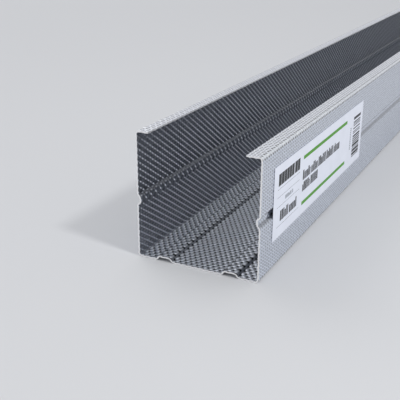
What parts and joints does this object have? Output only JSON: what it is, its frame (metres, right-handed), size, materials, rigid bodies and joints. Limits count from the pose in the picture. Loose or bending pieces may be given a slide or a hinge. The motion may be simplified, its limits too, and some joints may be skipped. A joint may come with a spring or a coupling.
{
  "type": "drywall metal stud",
  "caption": "Roll-formed steel channel with ribbed web, grooved flanges and return lips, which carries plasterboard in a partition wall.",
  "frame": {"origin": "middle of the web's outer face, half way along the stud", "axes": "+Y along the stud away from the labelled end, +X from the tall flange to the short flange, +Z from the web to the lips"},
  "size_m": [0.0501, 3, 0.05],
  "materials": {
    "galvanised_steel": "hot-dip zinc coating, knurled by the forming rolls, semi-matt",
    "label_film": "white printed polypropylene film with a satin face"
  },
  "bodies": {
    "root": {"stud": "galvanised_steel", "label": "label_film"}
  },
  "joints": []
}
